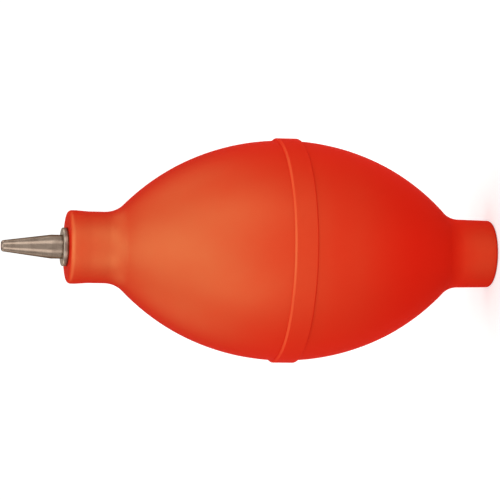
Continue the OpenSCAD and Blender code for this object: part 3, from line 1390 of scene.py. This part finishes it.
    def laid_wire(
        self, pattern: bpy.types.Object, row: int, turned: bool, held_r: float
    ) -> bpy.types.Object:
        """Copies the wire to its row and cuts it where the rim holds it.

        Args:
            pattern: Wire that is copied.
            row: Row of the copy, counted from the middle.
            turned: Whether it lies along Y, across the others.
            held_r: Radius at which it ends, in millimetres.

        Returns:
            The copy.
        """
        select_only(pattern)
        bpy.ops.object.duplicate()
        copy = bpy.context.object
        offset = row * self.wire_pitch
        # A neighbour waves the other way, and the crossing wires wave against both
        shift = self.wire_pitch * ((row + turned) % 2)
        if turned:
            copy.rotation_euler.z = math.pi / 2
        x, y = (-offset, shift) if turned else (shift, offset)
        copy.location = (x * MM, y * MM, 0)
        bpy.ops.object.transform_apply(location=True, rotation=True, scale=True)
        end = math.sqrt(held_r**2 - offset**2) * MM
        along = Vector((0, 1, 0)) if turned else Vector((1, 0, 0))
        bpy.ops.object.mode_set(mode="EDIT")
        for way in (along, -along):
            bpy.ops.mesh.select_all(action="SELECT")
            bpy.ops.mesh.bisect(
                plane_co=way * end, plane_no=way, use_fill=True, clear_outer=True, threshold=MERGE_MM * MM
            )
        bpy.ops.mesh.select_all(action="SELECT")
        bpy.ops.mesh.normals_make_consistent(inside=False)
        bpy.ops.object.mode_set(mode="OBJECT")
        return copy

    def gauze(self) -> bpy.types.Object:
        """Models the woven gauze: one wire, copied both ways and cut to the disc, in a folded rim.

        Returns:
            The gauze.
        """
        low, high = heights("inlet_screen")
        disc_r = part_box("inlet_screen")[1].x / MM
        held_r = disc_r - self.rim_w / 2
        reach = math.ceil(disc_r / self.wire_pitch) + 1
        last_row = math.floor((held_r - self.wire_r) / self.wire_pitch)
        pattern = self.wire(2 * reach * self.wire_pitch, (low + high) / 2)
        radii = (disc_r - self.rim_w, disc_r)
        rim = self.rounded_ring("inlet_gauze_woven", radii, (low, high), self.rim_fold)
        wires = [
            self.laid_wire(pattern, row, turned, held_r)
            for turned in (False, True)
            for row in range(-last_row, last_row + 1)
        ]
        bpy.data.objects.remove(pattern)
        select_only(rim)
        for wire in wires:
            wire.select_set(True)
        bpy.ops.object.join()
        return rim

    def build(self) -> None:
        """Models the valve's pieces and dresses them."""
        spring = self.spring_finish.material()
        finish_piece(self.bush(), self.bush_finish.material(), ("inlet_valve_body",), Body.BULB)
        finish_piece(self.ball(), self.ball_finish.material(), ("valve_ball",), Body.VALVE_BALL)
        finish_piece(self.guard(), self.sheet_finish.material(), ("ball_guard",), Body.BULB)
        for node in ("guard_ring", "screen_ring"):
            finish_piece(self.snap_ring(node), spring, (node,), Body.BULB)
        finish_piece(self.gauze(), self.gauze_finish.material(), ("inlet_screen",), Body.BULB)


@dataclass(frozen=True)
class SoftBox:
    """A soft studio lamp that faces the bulb, placed by azimuth, elevation and distance."""

    name: str
    azimuth_deg: float
    elevation_deg: float
    width_m: float
    height_m: float
    watts: float
    distance_m: float = 0.9

    def hang(self, target: Vector) -> None:
        """Hangs the lamp so that it faces the target.

        Args:
            target: Place that the lamp is aimed at, in metres.
        """
        azimuth, elevation = math.radians(self.azimuth_deg), math.radians(self.elevation_deg)
        way = Vector(
            (
                math.sin(azimuth) * math.cos(elevation),
                -math.cos(azimuth) * math.cos(elevation),
                math.sin(elevation),
            )
        )
        bpy.ops.object.light_add(type="AREA", location=target + way * self.distance_m)
        lamp = bpy.context.object
        lamp.name = self.name
        lamp.rotation_euler = way.to_track_quat("Z", "Y").to_euler()
        lamp.data.shape = "RECTANGLE"
        lamp.data.size = self.width_m
        lamp.data.size_y = self.height_m
        lamp.data.energy = self.watts


@dataclass
class Studio:
    """White paper, soft boxes and the camera, which is turned so that the nozzle points left."""

    paper: PaperFloor = field(default_factory=PaperFloor)
    paper_m: float = 12.0
    # Keeps the paper from lying in one plane with the tail's face
    paper_gap_mm: float = 0.03
    boxes: tuple[SoftBox, ...] = (
        SoftBox("key_box_left", azimuth_deg=-46, elevation_deg=10, width_m=0.46, height_m=0.6, watts=2.7),
        SoftBox("key_box_right", azimuth_deg=46, elevation_deg=10, width_m=0.46, height_m=0.6, watts=2.7),
        SoftBox("side_box_left", azimuth_deg=-114, elevation_deg=24, width_m=0.5, height_m=0.5, watts=2.7),
        SoftBox("side_box_right", azimuth_deg=114, elevation_deg=24, width_m=0.5, height_m=0.5, watts=2.7),
        SoftBox("overhead_box", azimuth_deg=0, elevation_deg=87, width_m=0.75, height_m=1.1, watts=4.4),
        SoftBox("front_box", azimuth_deg=0, elevation_deg=40, width_m=0.5, height_m=0.5, watts=0.85),
        SoftBox("low_box", azimuth_deg=0, elevation_deg=8, width_m=0.55, height_m=0.45, watts=0.3),
    )
    background: str = "#FFFFFF"
    fill: float = 0.28
    target_z_m: float = 0.0547
    tilt_deg: float = 11.25
    roll_deg: float = 0.986
    distance_m: float = 0.578
    focal_mm: float = 189.1
    sensor_mm: float = 36.0

    def build(self) -> None:
        """Lays the paper, hangs the lamps, and sets the world and the camera."""
        self.lay_paper()
        for box in self.boxes:
            box.hang(Vector((0, 0, self.target_z_m)))
        self.light_world()
        self.set_camera()
        bpy.context.scene.view_settings.view_transform = "Standard"

    def lay_paper(self) -> None:
        """Lays the paper that the bulb stands on."""
        deselect_all()
        bpy.ops.mesh.primitive_plane_add(size=self.paper_m, location=(0, 0, -self.paper_gap_mm * MM))
        floor = bpy.context.object
        floor.name = "background_paper"
        floor.data.materials.append(self.paper.material())

    def light_world(self) -> None:
        """Gives the room a weak even light, and a white background to the camera and in reflections."""
        world = bpy.data.worlds.new("white_room")
        bpy.context.scene.world = world
        world.use_nodes = True
        tree = world.node_tree
        tree.nodes.clear()
        strength = add_node(
            tree, "MapRange", inputs={"Value": seen_directly(tree), "To Min": self.fill, "To Max": 1.0}
        ).outputs["Result"]
        light = add_node(
            tree, "Background", inputs={"Color": linear(self.background), "Strength": strength}
        ).outputs[0]
        add_node(tree, "OutputWorld", inputs={"Surface": light})

    def set_camera(self) -> None:
        """Sets the camera a little above the bulb, on its side, so that the nozzle points left."""
        tilt, roll = math.radians(self.tilt_deg), math.radians(self.roll_deg)
        back = Vector((0, -math.cos(tilt), math.sin(tilt)))
        plain_right = Vector((0, -math.sin(tilt), -math.cos(tilt)))
        plain_up = Vector((1, 0, 0))
        right = math.cos(roll) * plain_right + math.sin(roll) * plain_up
        up = math.cos(roll) * plain_up - math.sin(roll) * plain_right
        bpy.ops.object.camera_add()
        camera = bpy.context.object
        camera.name = "bench_camera"
        place = Vector((0, 0, self.target_z_m)) + back * self.distance_m
        turn = Matrix((right, up, back)).transposed().to_4x4()
        camera.matrix_world = Matrix.Translation(place) @ turn
        camera.data.lens = self.focal_mm
        camera.data.sensor_width = self.sensor_mm
        bpy.context.scene.camera = camera


def main() -> None:
    """Builds the bulb's pieces and the studio in order."""
    logging.basicConfig(level=logging.INFO, format="%(levelname)s %(message)s")
    for part in (RubberBody(), NozzleSet(), InletValve(), Studio()):
        log.info("building %s", type(part).__name__)
        part.build()


if __name__ == "__main__":
    main()
